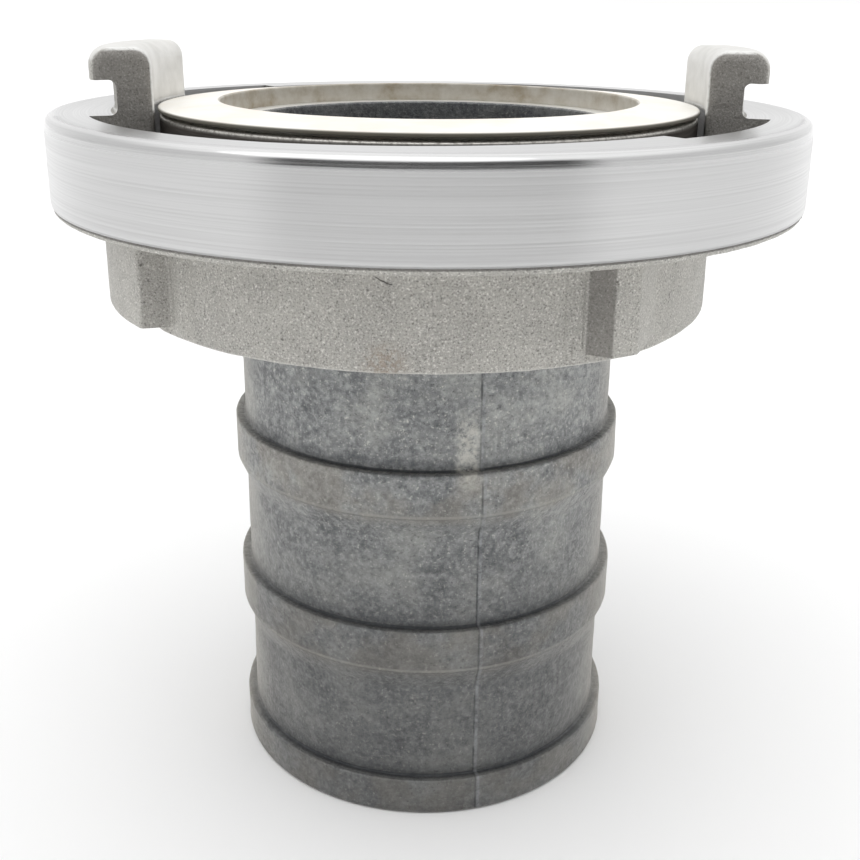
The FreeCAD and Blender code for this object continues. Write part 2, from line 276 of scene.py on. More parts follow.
def refine(points, triangles, normals, limit):
    """Halves every edge over its limit, with new points on the curved surface."""
    for _ in range(12):
        start, end = triangles, np.roll(triangles, -1, 1)
        low, high = np.minimum(start, end).ravel(), np.maximum(start, end).ravel()
        _, first, edge = np.unique(low * len(points) + high, return_index=True, return_inverse=True)
        edge = edge.reshape(-1)
        low_point, high_point = points[low[first]], points[high[first]]
        span = high_point - low_point
        middle = (low_point + high_point) / 2
        long = np.linalg.norm(span, axis=1) > limit(middle)
        if not long.any():
            break
        forward = (start < end).ravel()[:, None]
        here, there = normals.reshape(-1, 3), np.roll(normals, -1, 1).reshape(-1, 3)
        ends = np.stack([np.where(forward, here, there), np.where(forward, there, here)], 1)
        by_edge = np.argsort(edge, kind="stable").reshape(-1, 2)
        sides = ends[by_edge]
        smooth = ((sides[:, 0] * sides[:, 1]).sum(2) > 0.985).all(1)[:, None]
        mean = unit(sides.sum(1))
        lift = np.where(smooth, bulge(span, mean[:, 0], mean[:, 1]), crease_bulge(span, sides))
        number = np.full(len(span), -1)
        number[long] = len(points) + np.arange(long.sum())
        points = np.concatenate([points, (middle + lift)[long]])
        halves = number[edge].reshape(-1, 3)
        half_normals = unit(normals + np.roll(normals, -1, 1))
        triangles, normals = split(points, triangles, normals, halves, half_normals)
    return points, triangles, normals


def cut(points, triangles, normals, level):
    """Divides the triangles along level 0, so that two finishes meet in a clean line."""
    side = level(points)
    start, end = triangles, np.roll(triangles, -1, 1)
    low, high = np.minimum(start, end).ravel(), np.maximum(start, end).ravel()
    _, first, edge = np.unique(low * len(points) + high, return_index=True, return_inverse=True)
    low, high = low[first], high[first]
    share = side[low] / np.where(side[low] == side[high], 1, side[low] - side[high])
    crossed = (side[low] * side[high] < 0) & (share > 0.04) & (share < 0.96)
    number = np.full(len(low), -1)
    number[crossed] = len(points) + np.arange(crossed.sum())
    added = points[low] + (points[high] - points[low]) * share[:, None]
    points = np.concatenate([points, added[crossed]])
    halves = number[edge.reshape(-1)].reshape(-1, 3)
    half_normals = unit(normals + np.roll(normals, -1, 1))
    return (points, *split(points, triangles, normals, halves, half_normals))


def rolled(values, shift):
    """Each row of values rolled back by its own shift."""
    pick = (np.arange(3)[None, :] + shift[:, None]) % 3
    return values[np.arange(len(values))[:, None], pick]


def split(points, triangles, normals, halves, half_normals):
    """Divides triangles at the halves of their marked edges."""
    marked = halves >= 0
    count = marked.sum(1)
    made, made_normals = [triangles[count == 0]], [normals[count == 0]]

    def emit(chosen, shift, patterns):
        corners = np.concatenate([rolled(triangles[chosen], shift), rolled(halves[chosen], shift)], 1)
        shading = np.concatenate([rolled(normals[chosen], shift), rolled(half_normals[chosen], shift)], 1)
        for keep, pattern in patterns:
            made.append(corners[keep][:, pattern])
            made_normals.append(shading[keep][:, pattern])

    one = count == 1
    emit(one, marked[one].argmax(1), [(slice(None), [0, 3, 2]), (slice(None), [3, 1, 2])])
    two = count == 2
    shift = (np.argmin(marked[two], 1) + 1) % 3
    turned_corners, turned_halves = rolled(triangles[two], shift), rolled(halves[two], shift)
    first = np.linalg.norm(points[turned_corners[:, 0]] - points[turned_halves[:, 1]], axis=1)
    second = np.linalg.norm(points[turned_halves[:, 0]] - points[turned_corners[:, 2]], axis=1)
    nearer = first < second
    emit(two, shift, [
        (slice(None), [3, 1, 4]),
        (nearer, [0, 3, 4]), (nearer, [0, 4, 2]),
        (~nearer, [0, 3, 2]), (~nearer, [3, 4, 2]),
    ])
    three = count == 3
    emit(three, np.zeros(three.sum(), int), [
        (slice(None), [0, 3, 5]), (slice(None), [3, 1, 4]),
        (slice(None), [5, 4, 2]), (slice(None), [3, 4, 5]),
    ])
    return np.concatenate(made), np.concatenate(made_normals)


def shaped(points, triangles, normals, height):
    """Moves points along their normals by height, and tilts the normals to match."""
    outward = np.zeros_like(points)
    for corner in range(3):
        np.add.at(outward, triangles[:, corner], normals[:, corner])
    rise = height(points)
    step = 0.05
    slope = np.stack([
        (height(points + step * axis) - rise) / step for axis in np.eye(3)], 1)
    slope = slope[triangles]
    slope = slope - (slope * normals).sum(2, keepdims=True) * normals
    return points + unit(outward) * rise[:, None], unit(normals - slope)


# ------------------------------------------------------------------ materials

class Finish:
    """A material being built from nodes, with positions in millimetres."""

    def __init__(self, name, **constants):
        self.material = bpy.data.materials.new(name)
        self.material.use_nodes = True
        self.tree = self.material.node_tree
        self.tree.nodes.clear()
        self.shader = self.tree.nodes.new("ShaderNodeBsdfPrincipled")
        output = self.tree.nodes.new("ShaderNodeOutputMaterial")
        self.tree.links.new(self.shader.outputs[0], output.inputs["Surface"])
        for socket, value in constants.items():
            self.shader.inputs[socket.replace("_", " ")].default_value = value
        self.place = self.node("VectorMath", {
            0: self.node("TexCoord").outputs["Object"], "Scale": 1 / MM}, operation="SCALE").outputs[0]
        parts = self.node("SeparateXYZ", {0: self.place})
        self.x, self.y, self.z = parts.outputs
        self.radius = self.math("SQRT", self.math(
            "ADD", self.math("MULTIPLY", self.x, self.x), self.math("MULTIPLY", self.y, self.y)))
        self.azimuth = self.math("DEGREES", self.math("ARCTAN2", self.y, self.x))

    def node(self, kind, inputs=None, **settings):
        made = self.tree.nodes.new("ShaderNode" + kind)
        for key, value in settings.items():
            setattr(made, key, value)
        for socket, value in (inputs or {}).items():
            if isinstance(value, bpy.types.NodeSocket):
                self.tree.links.new(value, made.inputs[socket])
            else:
                made.inputs[socket].default_value = value
        return made

    def math(self, operation, *values):
        return self.node("Math", dict(enumerate(values)), operation=operation).outputs[0]

    def scaled(self, x=1.0, y=1.0, z=1.0):
        """Positions stretched along each axis."""
        return self.node("VectorMath", {0: self.place, 1: (x, y, z)}, operation="MULTIPLY").outputs[0]

    def noise(self, pitch, detail=3.0, roughness=0.55, vector=None):
        """Fractal noise, 0 to 1, whose largest lumps are about pitch mm across."""
        return self.node("TexNoise", {
            "Vector": vector or self.place, "Scale": 1 / pitch, "Detail": detail,
            "Roughness": roughness}).outputs[0]

    def cells(self, pitch):
        """Distance to the nearest of scattered points about pitch mm apart."""
        return self.node("TexVoronoi", {"Vector": self.place, "Scale": 1 / pitch}).outputs["Distance"]

    def product(self, *values):
        """All the values multiplied together."""
        total = values[0]
        for value in values[1:]:
            total = self.math("MULTIPLY", total, value)
        return total

    def across(self, sense=0.0):
        """How squarely the surface faces round the axis: either way, or one way with sense 1 or -1."""
        normal = self.node("SeparateXYZ", {0: self.node("TexCoord").outputs["Normal"]})
        turned_part = self.math(
            "SUBTRACT", self.math("MULTIPLY", normal.outputs[1], self.x),
            self.math("MULTIPLY", normal.outputs[0], self.y))
        share = self.math("DIVIDE", turned_part, self.radius)
        return self.math("MULTIPLY", share, sense) if sense else self.math("ABSOLUTE", share)

    def inward(self):
        """How squarely the surface faces the axis and how squarely it faces up, -1 to 1 each."""
        normal = self.node("SeparateXYZ", {0: self.node("TexCoord").outputs["Normal"]})
        spoke = self.math(
            "ADD", self.math("MULTIPLY", normal.outputs[0], self.x),
            self.math("MULTIPLY", normal.outputs[1], self.y))
        return self.math("MULTIPLY", self.math("DIVIDE", spoke, self.radius), -1.0), normal.outputs[2]

    def near(self, place, reach, fade):
        """1 within reach of a point, in mm, falling to 0 over fade."""
        away = self.node("VectorMath", {0: self.place, 1: place}, operation="DISTANCE").outputs["Value"]
        return self.between(away, reach, reach + fade, 1.0, 0.0)

    def band(self, value, low, high, fade):
        """1 where value lies from low to high, with soft ends."""
        rise = self.between(value, low - fade, low)
        return self.product(rise, self.between(value, high, high + fade, 1.0, 0.0))

    def between(self, value, low, high, to_low=0.0, to_high=1.0):
        """Maps value from low..high to the new range, held at its ends."""
        return self.node("MapRange", {
            0: value, 1: low, 2: high, 3: to_low, 4: to_high},
            interpolation_type="SMOOTHSTEP" if low < high else "LINEAR").outputs[0]

    def colours(self, value, *stops):
        """A colour ramp over (place, sRGB colour) stops."""
        made = self.node("ValToRGB", {0: value})
        band = made.color_ramp
        while len(band.elements) < len(stops):
            band.elements.new(0.5)
        for element, (place, colour) in zip(band.elements, stops):
            element.position = place
            element.color = (*linear(colour), 1.0)
        return made.outputs[0]

    def mix(self, share, first, second):
        """Mixes two colours; share 0 gives the first."""
        made = self.node("Mix", data_type="RGBA")
        for socket, value in ((0, share), (6, first), (7, second)):
            if isinstance(value, bpy.types.NodeSocket):
                self.tree.links.new(value, made.inputs[socket])
            elif socket == 0:
                made.inputs[0].default_value = value
            else:
                made.inputs[socket].default_value = (*linear(value), 1.0)
        return made.outputs[2]

    def bump(self, height, distance):
        """A normal tilted by the height, whose full range stands distance mm high."""
        return self.node("Bump", {"Height": height, "Distance": distance * MM, "Strength": 1.0}).outputs[0]

    def set(self, **sockets):
        for name, value in sockets.items():
            self.tree.links.new(value, self.shader.inputs[name.replace("_", " ")])
        return self


def linear(colour):
    """Linear light values of an sRGB colour given in 0-255."""
    shares = [c / 255 for c in colour]
    return [s / 12.92 if s <= 0.04045 else ((s + 0.055) / 1.055) ** 2.4 for s in shares]


def grey(level):
    return (level, level, level)


def tail_finish():
    """Dull grey die-cast aluminium: fine mottling, painted shade above the ridges, a mould seam, darker
    towards its bottom, and a painted highlight on its left and right sides.
    """
    f = Finish("tail_casting", Metallic=0.75, Specular_IOR_Level=0.5, Sheen_Weight=0.6,
               Sheen_Roughness=0.3, Sheen_Tint=(1.0, 0.965, 0.91, 1.0))
    clouds = f.noise(16, 6, 0.62)
    patches = f.noise(1.7, 6, 0.74)
    specks = f.noise(0.8, 3, 0.75)
    base = f.colours(clouds, (0.30, (96, 98, 101)), (0.48, (134, 136, 137)), (0.66, (167, 168, 165)))
    base = f.mix(f.between(patches, 0.42, 0.66, 0.0, 0.55), base, (190, 192, 190))
    base = f.mix(f.between(patches, 0.28, 0.44, 0.6, 0.0), base, (88, 91, 94))
    base = f.mix(f.between(specks, 0.56, 0.72, 0.0, 0.75), base, (222, 221, 214))
    base = f.mix(f.between(specks, 0.26, 0.43, 0.75, 0.0), base, (64, 66, 68))
    on_ridge = f.between(f.radius, RIDGE - 1.4, RIDGE - 0.2)
    warm = f.product(on_ridge, f.between(f.noise(12, 4), 0.4, 0.6, 0.0, 0.38))
    base = f.mix(warm, base, (158, 151, 139))
    base = f.mix(f.between(f.z, 28.0, 112.0, 0.56, 0.0), base, (76, 76, 76))
    base = f.mix(f.between(f.radius, BORE + 0.9, BORE + 1.9, 0.5, 0.0), base, (66, 69, 74))
    off_side = f.math("DIVIDE", f.math("ABSOLUTE", f.y), f.radius)
    # painted highlight: the tail's left and right sides made lighter and warmer
    base = f.mix(f.between(off_side, 0.15, 0.62, 0.34, 0.0), base, (190, 185, 175))
    base = ridge_shade_and_lines(f, base, patches, off_side)
    base = seam_marks(f, base, patches)
    grain = f.math("ADD", f.math("MULTIPLY", f.noise(0.7, 4, 0.68), 0.6), f.math("MULTIPLY", patches, 0.8))
    f.set(Base_Color=base, Roughness=f.between(patches, 0.3, 0.7, 0.62, 0.46), Normal=f.bump(grain, 0.34))
    return f.material


def ridge_shade_and_lines(f, base, patches, off_side):
    """Painted shade in the corner above each ridge, and a light line along the ridge's lower edge with a
    broken darker line under it.
    """
    # painted shade, strong where the tail faces front or back and faint at its sides
    front_back_shade = f.between(off_side, 0.30, 0.90, 0.08, 0.85)
    for shoulder in SHOULDERS:
        above = f.math("SUBTRACT", f.z, shoulder)
        shank = f.product(
            f.between(f.radius, SHANK - 1.0, SHANK - 0.6),
            f.between(f.radius, SHANK + 0.5, SHANK + 1.5, 1.0, 0.12))
        # painted shade: a dark line at each shoulder and a faint bluish band just above it
        base = f.mix(f.product(f.band(above, -0.1, 0.1, 0.4), shank, front_back_shade), base, (40, 41, 43))
        base = f.mix(f.product(f.band(above, 0.4, 1.6, 2.0), shank, 0.2), base, (88, 92, 98))
        edge = f.math("ADD", above, RIDGE_FLAT)
        foot = f.product(f.band(edge, -0.15, 0.05, 0.25), f.between(patches, 0.4, 0.6))
        base = f.mix(f.product(foot, 0.4), base, (74, 74, 74))
        lip = f.product(f.band(edge, 0.2, 0.6, 0.3), f.between(patches, 0.35, 0.6, 1.0, 0.3))
        on_face = f.between(f.radius, RIDGE - 0.4, RIDGE - 0.2)
        base = f.mix(f.product(lip, on_face, 0.4), base, (186, 184, 176))
    return base


def seam_marks(f, base, patches):
    """A dark and a bright line along each mould seam, and a rubbed patch beside the front one."""
    broken = f.between(f.noise(6, 3, 0.6), 0.36, 0.62, 0.1, 0.7)
    for seam in SEAMS:
        side = f.math("MULTIPLY", f.math("SUBTRACT", f.azimuth, seam), SHANK * math.radians(1))
        outside = f.between(f.radius, SHANK - 1.2, SHANK - 0.6)
        base = f.mix(f.product(f.band(side, -0.35, -0.1, 0.2), outside, broken), base, (58, 60, 62))
        bright = f.product(f.band(side, 0.1, 0.5, 0.4), outside, f.between(patches, 0.35, 0.6, 0.1, 0.4))
        base = f.mix(bright, base, (162, 165, 168))
        if seam == SEAM_FRONT:
            worn = f.product(
                f.band(side, -4.9, -1.5, 1.7), f.band(f.z, 93.5, 101.0, 8.0), outside,
                f.between(f.noise(1.4, 5, 0.78), 0.34, 0.62))
            base = f.mix(f.product(worn, 0.7), base, (220, 218, 210))
    return base


def seat_finish():
    """Turned top of the tail: dark on its side, bright and speckled along its edge."""
    f = Finish("tail_seat", Metallic=0.9, Specular_IOR_Level=0.5)
    rings = f.noise(0.5, 3, 0.6, vector=f.node("CombineXYZ", {
        0: f.radius, 1: f.math("MULTIPLY", f.azimuth, 0.05), 2: f.z}).outputs[0])
    base = f.colours(rings, (0.32, (92, 87, 83)), (0.68, (124, 119, 114)))
    edge = f.product(
        f.between(f.z, COLLAR_TOP - 1.3, COLLAR_TOP - 0.3),
        f.between(f.noise(0.9, 3, 0.7), 0.3, 0.6, 0.35, 1.0))
    base = f.mix(edge, base, (206, 204, 198))
    seat = f.product(
        f.between(f.z, SEAT_TOP - 0.5, SEAT_TOP - 0.1),
        f.between(f.radius, SEAT + 0.1, SEAT + 0.7, 1.0, 0.0))
    base = f.mix(seat, base, (226, 225, 220))
    f.set(Base_Color=base, Roughness=f.between(edge, 0.0, 1.0, 0.5, 0.34), Normal=f.bump(rings, 0.03))
    return f.material


def casting_flaw(f):
    """A short crooked crack near the top of the skirt's front."""
    slope = f.math("MULTIPLY", f.math("SUBTRACT", f.azimuth, FLAW_ANGLE), 0.42)
    wander = f.math("MULTIPLY", f.noise(2.2, 2), 1.6)
    across = f.math("ADD", f.math("SUBTRACT", f.z, FLAW_HEIGHT), f.math("ADD", slope, wander))
    return f.product(
        f.band(across, 0.72, 0.9, 0.14), f.band(f.azimuth, FLAW_ANGLE - 1.1, FLAW_ANGLE + 1.2, 0.3),
        f.between(f.radius, PANEL - 1.3, PANEL - 0.8))


def cast_finish():
    """Warm grey sand-cast aluminium; the lugs' inner faces and tops are rubbed smooth. Painted shade
    darkens the ear walls, the lugs' ends and a line under the strip's step; near-white wear with a painted
    highlight lines the lugs' end edges, and a painted highlight runs along the skirt's lower edge.
    """
    f = Finish("head_cast", Specular_IOR_Level=0.45)
    grain = f.noise(0.42, 2, 0.7)
    sand = f.noise(1.3, 3, 0.6)
    base = f.colours(f.noise(10, 5, 0.6), (0.3, (175, 173, 168)), (0.7, (191, 189, 183)))
    base = f.mix(f.between(grain, 0.53, 0.70, 0.0, 0.75), base, (238, 236, 231))
    base = f.mix(f.between(grain, 0.30, 0.46, 0.85, 0.0), base, (118, 116, 112))
    base = f.mix(f.between(sand, 0.52, 0.7, 0.0, 0.35), base, (186, 184, 179))
    lugs = f.between(f.z, RIM_TOP + 0.2, RIM_TOP + 1.1)
    # painted shade: walls facing one way round the axis darkened more than those facing the other, and the
    # lugs' end faces darkened
    trailing = f.between(f.across(-1.0), 0.45, 0.75)
    lug_end = f.product(f.between(f.across(), 0.45, 0.75), f.between(f.z, WEB_TOP - 2, WEB_TOP + 1))
    leading = f.between(f.across(1.0), 0.45, 0.75)
    wall_shade = f.math("MAXIMUM", f.product(trailing, 0.55), f.product(leading, 0.2))
    base = f.mix(f.math("MAXIMUM", wall_shade, f.product(lug_end, 0.58)), base, (98, 94, 90))
    facing, up = f.inward()
    rubbed = f.product(lugs, f.between(f.across(), 0.35, 0.62, 1.0, 0.0), f.math(
        "MAXIMUM", f.between(facing, 0.2, 0.5), f.between(up, 0.2, 0.5)))
    smooth = f.colours(f.noise(5, 3, 0.5), (0.3, (212, 211, 207)), (0.7, (229, 228, 225)))
    base = f.mix(rubbed, base, smooth)
    # near-white wear with a painted highlight on the lugs' rounded end edges, kept off their outer sides
    worn = f.product(
        f.band(f.across(), 0.28, 0.62, 0.2), lugs,
        f.between(facing, -0.3, 0.0), f.between(sand, 0.3, 0.55, 0.5, 1.0))
    base = f.mix(f.product(worn, 0.8), base, (240, 240, 238))
    # painted shade: a dark line just under the step at the top of the cast strip
    under_step_shade = f.product(
        f.band(f.z, STRIP_TOP - 0.37, STRIP_TOP - 0.02, 0.3), f.between(f.radius, RIM - 2.5, RIM - 1.5))
    base = f.mix(f.product(under_step_shade, 0.7), base, (70, 68, 66))
    # painted highlight: a light line along the skirt's rounded lower edge
    foot = f.product(
        f.between(f.z, SKIRT_LOW + 0.1, SKIRT_LOW + 0.8, 1.0, 0.0),
        f.between(f.radius, PANEL - 3.8, PANEL - 1.8))
    base = f.mix(f.product(foot, 0.6), base, (214, 212, 207))
    stain = f.product(f.near(STAIN, 1.0, 5.0), f.between(sand, 0.35, 0.6))
    base = f.mix(f.product(stain, 0.42), base, (132, 104, 74))
    base = f.mix(f.product(casting_flaw(f), 0.85), base, (46, 43, 40))
    pits = f.between(f.cells(5.3), 0.03, 0.085, 1.0, 0.0)
    base = f.mix(f.product(pits, 0.7, f.math("SUBTRACT", 1.0, rubbed)), base, (70, 68, 64))
    rough = f.math("SUBTRACT", 1.0, f.math("MULTIPLY", rubbed, 0.85))
    relief = f.product(f.math("ADD", f.math("MULTIPLY", grain, 0.55), f.math(
        "SUBTRACT", f.math("MULTIPLY", sand, 0.8), f.math("MULTIPLY", pits, 0.5))), rough)
    f.set(Base_Color=base, Metallic=f.between(rubbed, 0.0, 1.0, 0.4, 0.85),
          Roughness=f.between(rubbed, 0.0, 1.0, 0.62, 0.42), Normal=f.bump(relief, 0.3))
    return f.material


def turned_finish():
    """Bright turned aluminium with fine tool lines round the axis and faint handling marks, and painted
    shade further down its inner wall.
    """
    f = Finish("rim_turned", Metallic=1.0, Anisotropic=0.88, Anisotropic_Rotation=0.25)
    rings = f.node("CombineXYZ", {0: f.radius, 1: f.math("MULTIPLY", f.azimuth, 0.006), 2: f.z}).outputs[0]
    scratches = f.noise(0.3, 1, 0.5, vector=rings)
    drift = f.noise(2.6, 1, 0.5, vector=rings)
    travel = f.math("ADD", f.math("ADD", f.radius, f.z), f.math("MULTIPLY", drift, 1.3))
    feed = f.math("SINE", f.math("MULTIPLY", travel, 2 * math.pi / TOOL_FEED))
    patchy = f.between(f.noise(9, 2, 0.6), 0.35, 0.62, 0.25, 1.0)
    lines = f.math("ADD", scratches, f.product(feed, patchy, 0.13))
    broad = f.noise(30, 0)
    base = f.colours(lines, (0.22, grey(198)), (0.5, grey(205)), (0.78, grey(209)))
    base = f.mix(f.between(broad, 0.2, 0.8, 0.0, 0.12), base, grey(176))
    # painted shade: the rim's inner wall darker further down from its top edge
    inside = f.product(
        f.between(f.z, RIM_TOP - 3.1, RIM_TOP - 0.5, 1.0, 0.0),
        f.between(f.radius, ENTRY + 0.6, ENTRY + 1.6, 1.0, 0.0))
    base = f.mix(f.product(inside, 0.2), base, (88, 84, 80))
    corner = f.product(
        f.between(f.z, RIM_TOP - 3.3, RIM_TOP - 2.3), f.between(f.radius, RIM - 2.5, RIM - 1.5))
    rough = f.math("SUBTRACT", f.between(lines, 0.3, 0.7, 0.33, 0.28), f.math("MULTIPLY", corner, 0.15))
    f.set(Base_Color=base, Roughness=rough, Normal=f.bump(lines, 0.011),
          Tangent=f.node("Tangent", direction_type="RADIAL", axis="Z").outputs[0])
    return f.material


def seal_finish():
    """Cream moulded rubber; its inner wall is taupe, part stain and part painted shade, and painted shade
    lines its outer edge.
    """
    f = Finish("seal_rubber", Roughness=0.42, Specular_IOR_Level=0.45)
    base = f.colours(
        f.noise(16, 5, 0.6), (0.34, (239, 230, 219)), (0.50, (243, 240, 231)), (0.68, (245, 243, 238)))
    # the inner wall's taupe: stain together with painted shade
    inner = f.between(f.radius, SEAT + 0.4, SEAT + 0.75, 1.0, 0.0)
    wall = f.colours(
        f.noise(9, 5, 0.65), (0.34, (162, 150, 130)), (0.5, (188, 182, 170)), (0.66, (202, 198, 189)))
    base = f.mix(inner, base, wall)
    # painted shade: a dark line along the seal's outer edge, at the gap next to the head
    lip = f.product(
        f.between(f.radius, SEAL_LIP_RADIUS - 0.8, SEAL_LIP_RADIUS - 0.2),
        f.between(f.z, SEAL_OUTER_TOP - 0.2, SEAL_OUTER_TOP + 0.2, 1.0, 0.0))
    base = f.mix(f.product(lip, 0.9), base, (84, 80, 66))
    f.set(Base_Color=base, Normal=f.bump(f.noise(1.4, 4, 0.6), 0.03))
    return f.material


def ring_finish():
    """Dark spring steel with rolling marks."""
    f = Finish("ring_steel", Metallic=1.0, Anisotropic=0.4)
    lines = f.noise(0.5, 3, 0.6, vector=f.scaled(1.0, 1.0, 4.0))
    rust = f.between(f.noise(5, 4, 0.6), 0.56, 0.7, 0.0, 0.4)
    base = f.mix(rust, f.colours(lines, (0.3, grey(92)), (0.7, grey(124))), (98, 82, 68))
    f.set(Base_Color=base, Roughness=f.between(lines, 0.3, 0.7, 0.34, 0.5), Normal=f.bump(lines, 0.012))
    return f.material


# ------------------------------------------------------------------ the tail

lumps = Lumps(7)
fine = Lumps(19)


def tail_height(points):
    """Unevenness of the tail's cast surfaces, with the two mould seams."""
    z, radius = points[:, 2], radius_of(points)
    outer = ramp(radius, SHANK - 2.0, SHANK - 0.5) * ramp(z, JOURNAL_LOW - 2.5, JOURNAL_LOW - 4.0)
    inner = ramp(radius, BORE + 1.1, BORE + 0.5) * ramp(z, SEAT_TOP - 1.9, SEAT_TOP - 6.4)
    uneven = 0.20 * lumps(points, 17.0) + 0.12 * lumps(points, 6.0) + 0.07 * fine(points, 2.2)
    seam = np.zeros(len(points))
    for line in SEAMS:
        side = np.radians((azimuth_of(points) - line + 180) % 360 - 180) * radius
        fin = 0.10 * np.exp(-(side / 0.32) ** 2) * (0.6 + 1.1 * fine(points, 5.0))
        step = 0.14 * ramp(side, -0.3, 0.3) * ramp(side, 26.0, 2.0)
        seam += (fin + step) * (np.abs(side) < 30)
    # kept under the sharp corners, so that nothing stands out of the CAD solid's box
    return (uneven - 0.16) * np.maximum(outer, 0.8 * inner) * ends_clear(z) + seam * outer * ends_clear(z)


def ends_clear(z):
    """0 at the tail's flat end, 1 from a little above it."""
    return ramp(z, 0.4, 1.6)


def seal_height(points):
    """Slight unevenness of the seal's face."""
    return 0.05 * lumps(points, 22.0) * ramp(points[:, 2], SEAL_OUTER_TOP - 1.8, SEAL_OUTER_TOP - 0.3)


def shoulder_of(height):
    """The flat shoulder at the top of a ridge."""
    return [(RIDGE, height, 0.7), (SHANK, height, 0.4)]


def ridge_below(height):
    """The taper and the foot of the ridge whose shoulder is at height."""
    foot = height - RIDGE_FLAT
    return [(SHANK, foot - RIDGE_TAPER, 4.0), (RIDGE, foot, 0.3)]


# Outlines run round each section as (radius, height, corner rounding).
tail_section = [(BORE, 0.0, 0.7), (RIDGE, 0.0, 1.2), *shoulder_of(SHOULDERS[0])]
for shoulder in SHOULDERS[1:]:
    tail_section += ridge_below(shoulder) + shoulder_of(shoulder)
tail_section += [
    (SHANK, JOURNAL_LOW - JOURNAL_CONE, 3.0), (JOURNAL, JOURNAL_LOW, 0.8),
    (JOURNAL, SNAP_LOW, 0.15), (JOURNAL - SNAP_DEPTH, SNAP_LOW, 0.2),
    (JOURNAL - SNAP_DEPTH, SNAP_HIGH, 0.2), (JOURNAL, SNAP_HIGH, 0.15),
    (JOURNAL, COLLAR_LOW, 0.4), (COLLAR, COLLAR_LOW, 0.5), (COLLAR, COLLAR_TOP, 0.8),
    (SEAL_GROOVE, COLLAR_TOP, 0.3), (SEAL_GROOVE, GROOVE_FLOOR, 0.4), (SEAT, GROOVE_FLOOR, 0.4),
    (SEAT, SEAT_TOP, 0.3), (BORE, SEAT_TOP, 0.6),
]
seal_inner, seal_neck = SEAT + SEAL_PLAY, SEAL_GROOVE - SEAL_PLAY
lip_low = SEAL_OUTER_TOP - SEAL_LIP
seal_section = [
    (seal_inner, GROOVE_FLOOR, 0.3), (seal_neck, GROOVE_FLOOR, 0.3),
    (seal_neck, lip_low, 0.3), (SEAL_LIP_RADIUS, lip_low, 0.3),
    (SEAL_LIP_RADIUS, SEAL_OUTER_TOP, 0.4), (seal_inner, SEAL_INNER_TOP, 0.5),
]
ring_section = [(radius, height, 0.35) for radius, height in (
    (RING_INNER, RING_LOW), (RING_OUTER, RING_LOW), (RING_OUTER, RING_HIGH), (RING_INNER, RING_HIGH))]
half_gap = math.asin(RING_GAP / (RING_INNER + RING_OUTER))

tail = turned(
    "hose_tail_casting", tail_section, 0.9, full_circle(360, [seam % 360 for seam in SEAMS]), tail_height)
seal = turned("face_seal_moulding", seal_section, 0.8, full_circle(360), seal_height)
ring = turned(
    "retaining_ring_wire", ring_section, 0.8, np.linspace(math.pi + half_gap, 3 * math.pi - half_gap, 360),
    lambda points: np.zeros(len(points)), closed=False)


# ------------------------------------------------------------------ the head

def above_strip(points):
    """Height above the cast strip that runs along the rim's lower edge."""
    return points[:, 2] - STRIP_TOP


def is_cast(points, triangles, normals):
    """Which triangles are as cast: the skirt, the lugs and the lugs' ends down to the web."""
    centre, facing = points[triangles].mean(1), unit(normals.sum(1))
    radius, z = radius_of(centre), centre[:, 2]
    across = np.abs(facing[:, 1] * centre[:, 0] - facing[:, 0] * centre[:, 1]) / radius
    skirt = (z < STRIP_TOP) & (radius > JOURNAL + 1.5)
    lug = radius > LUG_INNER - 0.4
    ends = (across > 0.6) & (z > WEB_TOP + 0.2) & lug & (radius < ENTRY + 3)
    return skirt | ends | ((z > RIM_TOP + 0.15) & lug)


def head_limit(middle):
    """Longest edge allowed: short where the casting's grain shows and at the rim's top corner."""
    limit = np.where(cast_share(middle) > 0.05, 1.0, 2.0)
    rim_corner = (radius_of(middle) > RIM - 2.5) & (middle[:, 2] > RIM_TOP - 4.1)
    return np.where(rim_corner, 0.6, limit)


def cast_share(points):
    """1 on the head's cast surfaces, 0 on its turned ones."""
    z, radius = points[:, 2], radius_of(points)
    below = ramp(z, STRIP_TOP + 0.28, STRIP_TOP - 0.32) * ramp(radius, JOURNAL + 1.0, JOURNAL + 2.5)
    lugs = ramp(z, RIM_TOP + 0.9, RIM_TOP + 1.9) * ramp(radius, LUG_INNER + 0.6, LUG_INNER + 2.1)
    return np.maximum(below, lugs)


def ear_marks(points):
    """The bead and the groove that run down the skirt beside each ear's wall."""
    z, radius, turn = points[:, 2], radius_of(points), azimuth_of(points)
    marks = np.zeros(len(points))
    for spans, depth in ((EAR_BEADS, 0.30), (EAR_GROOVES, -0.28)):
        for first, last in spans:
            middle, half = (first + last) / 2, (last - first) / 2
            away = np.abs((turn - middle + 90) % 180 - 90)
            marks += depth * ramp(away, half * 1.3, half * 0.5)
    outside = ramp(radius, PANEL - 2.3, PANEL - 0.8) * ramp(radius, PANEL + 1.6, PANEL + 0.6)
    below_rim = ramp(z, SKIRT_LOW + 0.7, SKIRT_LOW + 2.7) * ramp(z, STRIP_TOP + 0.08, STRIP_TOP - 0.72)
    return marks * outside * below_rim


def head_height(points):
    """Casting unevenness, the strip's step, the lean below the rim's top and the marks by the ears."""
    z, radius = points[:, 2], radius_of(points)
    uneven = 0.11 * lumps(points, 11.0) + 0.08 * lumps(points, 4.0) + 0.07 * fine(points, 1.9)
    crown = ramp(z, LUG_TOP - 5.7, LUG_TOP - 2.2)
    strip = 0.22 * ramp(z, STRIP_TOP + 0.13, STRIP_TOP - 0.12) * ramp(radius, RIM - 4.5, RIM - 2.5)
    lead = 0.13 * ramp(z, RIM_TOP - 2.9, RIM_TOP - 1.4) * ramp(radius, RIM - 2.5, RIM - 1.3)
    casting = (uneven - 0.08) * cast_share(points) * (1 - crown) - 0.03 * crown
    return casting - strip - lead + ear_marks(points)


